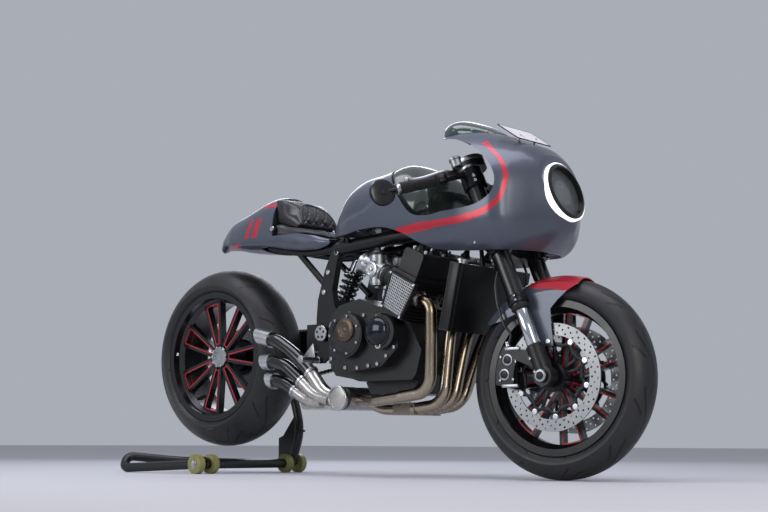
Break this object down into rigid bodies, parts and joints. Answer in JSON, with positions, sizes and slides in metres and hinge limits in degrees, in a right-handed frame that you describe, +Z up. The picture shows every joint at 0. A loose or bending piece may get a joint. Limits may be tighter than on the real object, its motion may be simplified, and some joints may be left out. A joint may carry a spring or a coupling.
{
  "type": "cafe racer motorcycle",
  "caption": "Cafe racer motorcycle with a half fairing, round lamp, humped tail and single-sided swingarm, raised on a rear paddock stand.",
  "frame": {"origin": "on the floor, on the centre plane, half way between the axles", "axes": "+X forward, +Y to the rider's left, +Z up"},
  "size_m": [2.0662, 0.8172, 1.1265],
  "materials": {
    "aluminium": "satin",
    "black_paint": "satin",
    "engine_black": "satin black",
    "halo": "gloss",
    "leather": "matte",
    "lens": "clear",
    "plastic": "matte",
    "plate_white": "gloss",
    "roller": "satin",
    "rubber": "matte",
    "shell_paint": "satin",
    "steel": "brushed",
    "tank_paint": "gloss",
    "tyre": "matte",
    "warm_steel": "brushed"
  },
  "bodies": {
    "chassis": {"body_shell": "shell_paint", "carburettors": "aluminium", "chain": "steel", "crankcase": "engine_black", "cylinder_block": "engine_black", "cylinder_head": "engine_black", "fly_screen": "tank_paint", "frame": "black_paint", "front_sprocket": "steel", "fuel_tank": "tank_paint", "header_pipes": "warm_steel", "headlamp_bowl": "black_paint", "headlamp_lens": "lens", "headlamp_ring": "halo", "hump_pad": "leather", "left_engine_cover": "engine_black", "left_rearset": "black_paint", "muffler_log": "aluminium", "number_plate": "plate_white", "outlet_pipes": "engine_black", "outlet_tips": "aluminium", "paddock_stand": "black_paint", "radiator": "engine_black", "right_engine_cover": "engine_black", "right_rearset": "black_paint", "right_side_grille": "engine_black", "seat_pad": "leather", "shock": "black_paint", "subframe": "black_paint", "swingarm": "engine_black", "tail_cowl": "shell_paint", "tail_tray": "plastic"},
    "steering": {"brake_hoses": "plastic", "front_axle": "steel", "front_fender": "shell_paint", "instrument": "plastic", "left_caliper": "black_paint", "left_clip_on": "black_paint", "left_fork_slider": "steel", "left_fork_tube": "black_paint", "left_grip": "rubber", "lower_clamp": "black_paint", "right_caliper": "black_paint", "right_clip_on": "black_paint", "right_fork_slider": "steel", "right_fork_tube": "black_paint", "right_grip": "rubber", "upper_clamp": "black_paint"},
    "front_wheel": {"front_rim": "black_paint", "front_tyre": "tyre", "left_front_disc": "steel", "right_front_disc": "steel"},
    "rear_wheel": {"rear_axle": "steel", "rear_disc": "steel", "rear_rim": "black_paint", "rear_sprocket": "steel", "rear_tyre": "tyre"},
    "right_rollers": {"right_rollers": "roller"},
    "left_rollers": {"left_rollers": "roller"}
  },
  "joints": [
    {"name": "steer", "type": "hinge", "parent": "chassis", "child": "steering", "pos_m": [0.48216, 0, 0.78325], "axis": [-0.3987, 0, 0.9171], "range_deg": [-24.5, 15.5]},
    {"name": "front_wheel_spin", "type": "hinge", "parent": "steering", "child": "front_wheel", "pos_m": [0.72491, 0.00235, 0.29996], "axis": [-0.072, 0.9969, -0.0313], "continuous": true},
    {"name": "rear_wheel_spin", "type": "hinge", "parent": "chassis", "child": "rear_wheel", "pos_m": [-0.725, 0, 0.412], "axis": [0, 1, 0], "continuous": true},
    {"name": "right_roller_spin", "type": "hinge", "parent": "chassis", "child": "right_rollers", "pos_m": [-0.616, -0.215, 0.033], "axis": [0, 1, 0], "continuous": true},
    {"name": "left_roller_spin", "type": "hinge", "parent": "chassis", "child": "left_rollers", "pos_m": [-0.616, 0.215, 0.033], "axis": [0, 1, 0], "continuous": true}
  ]
}
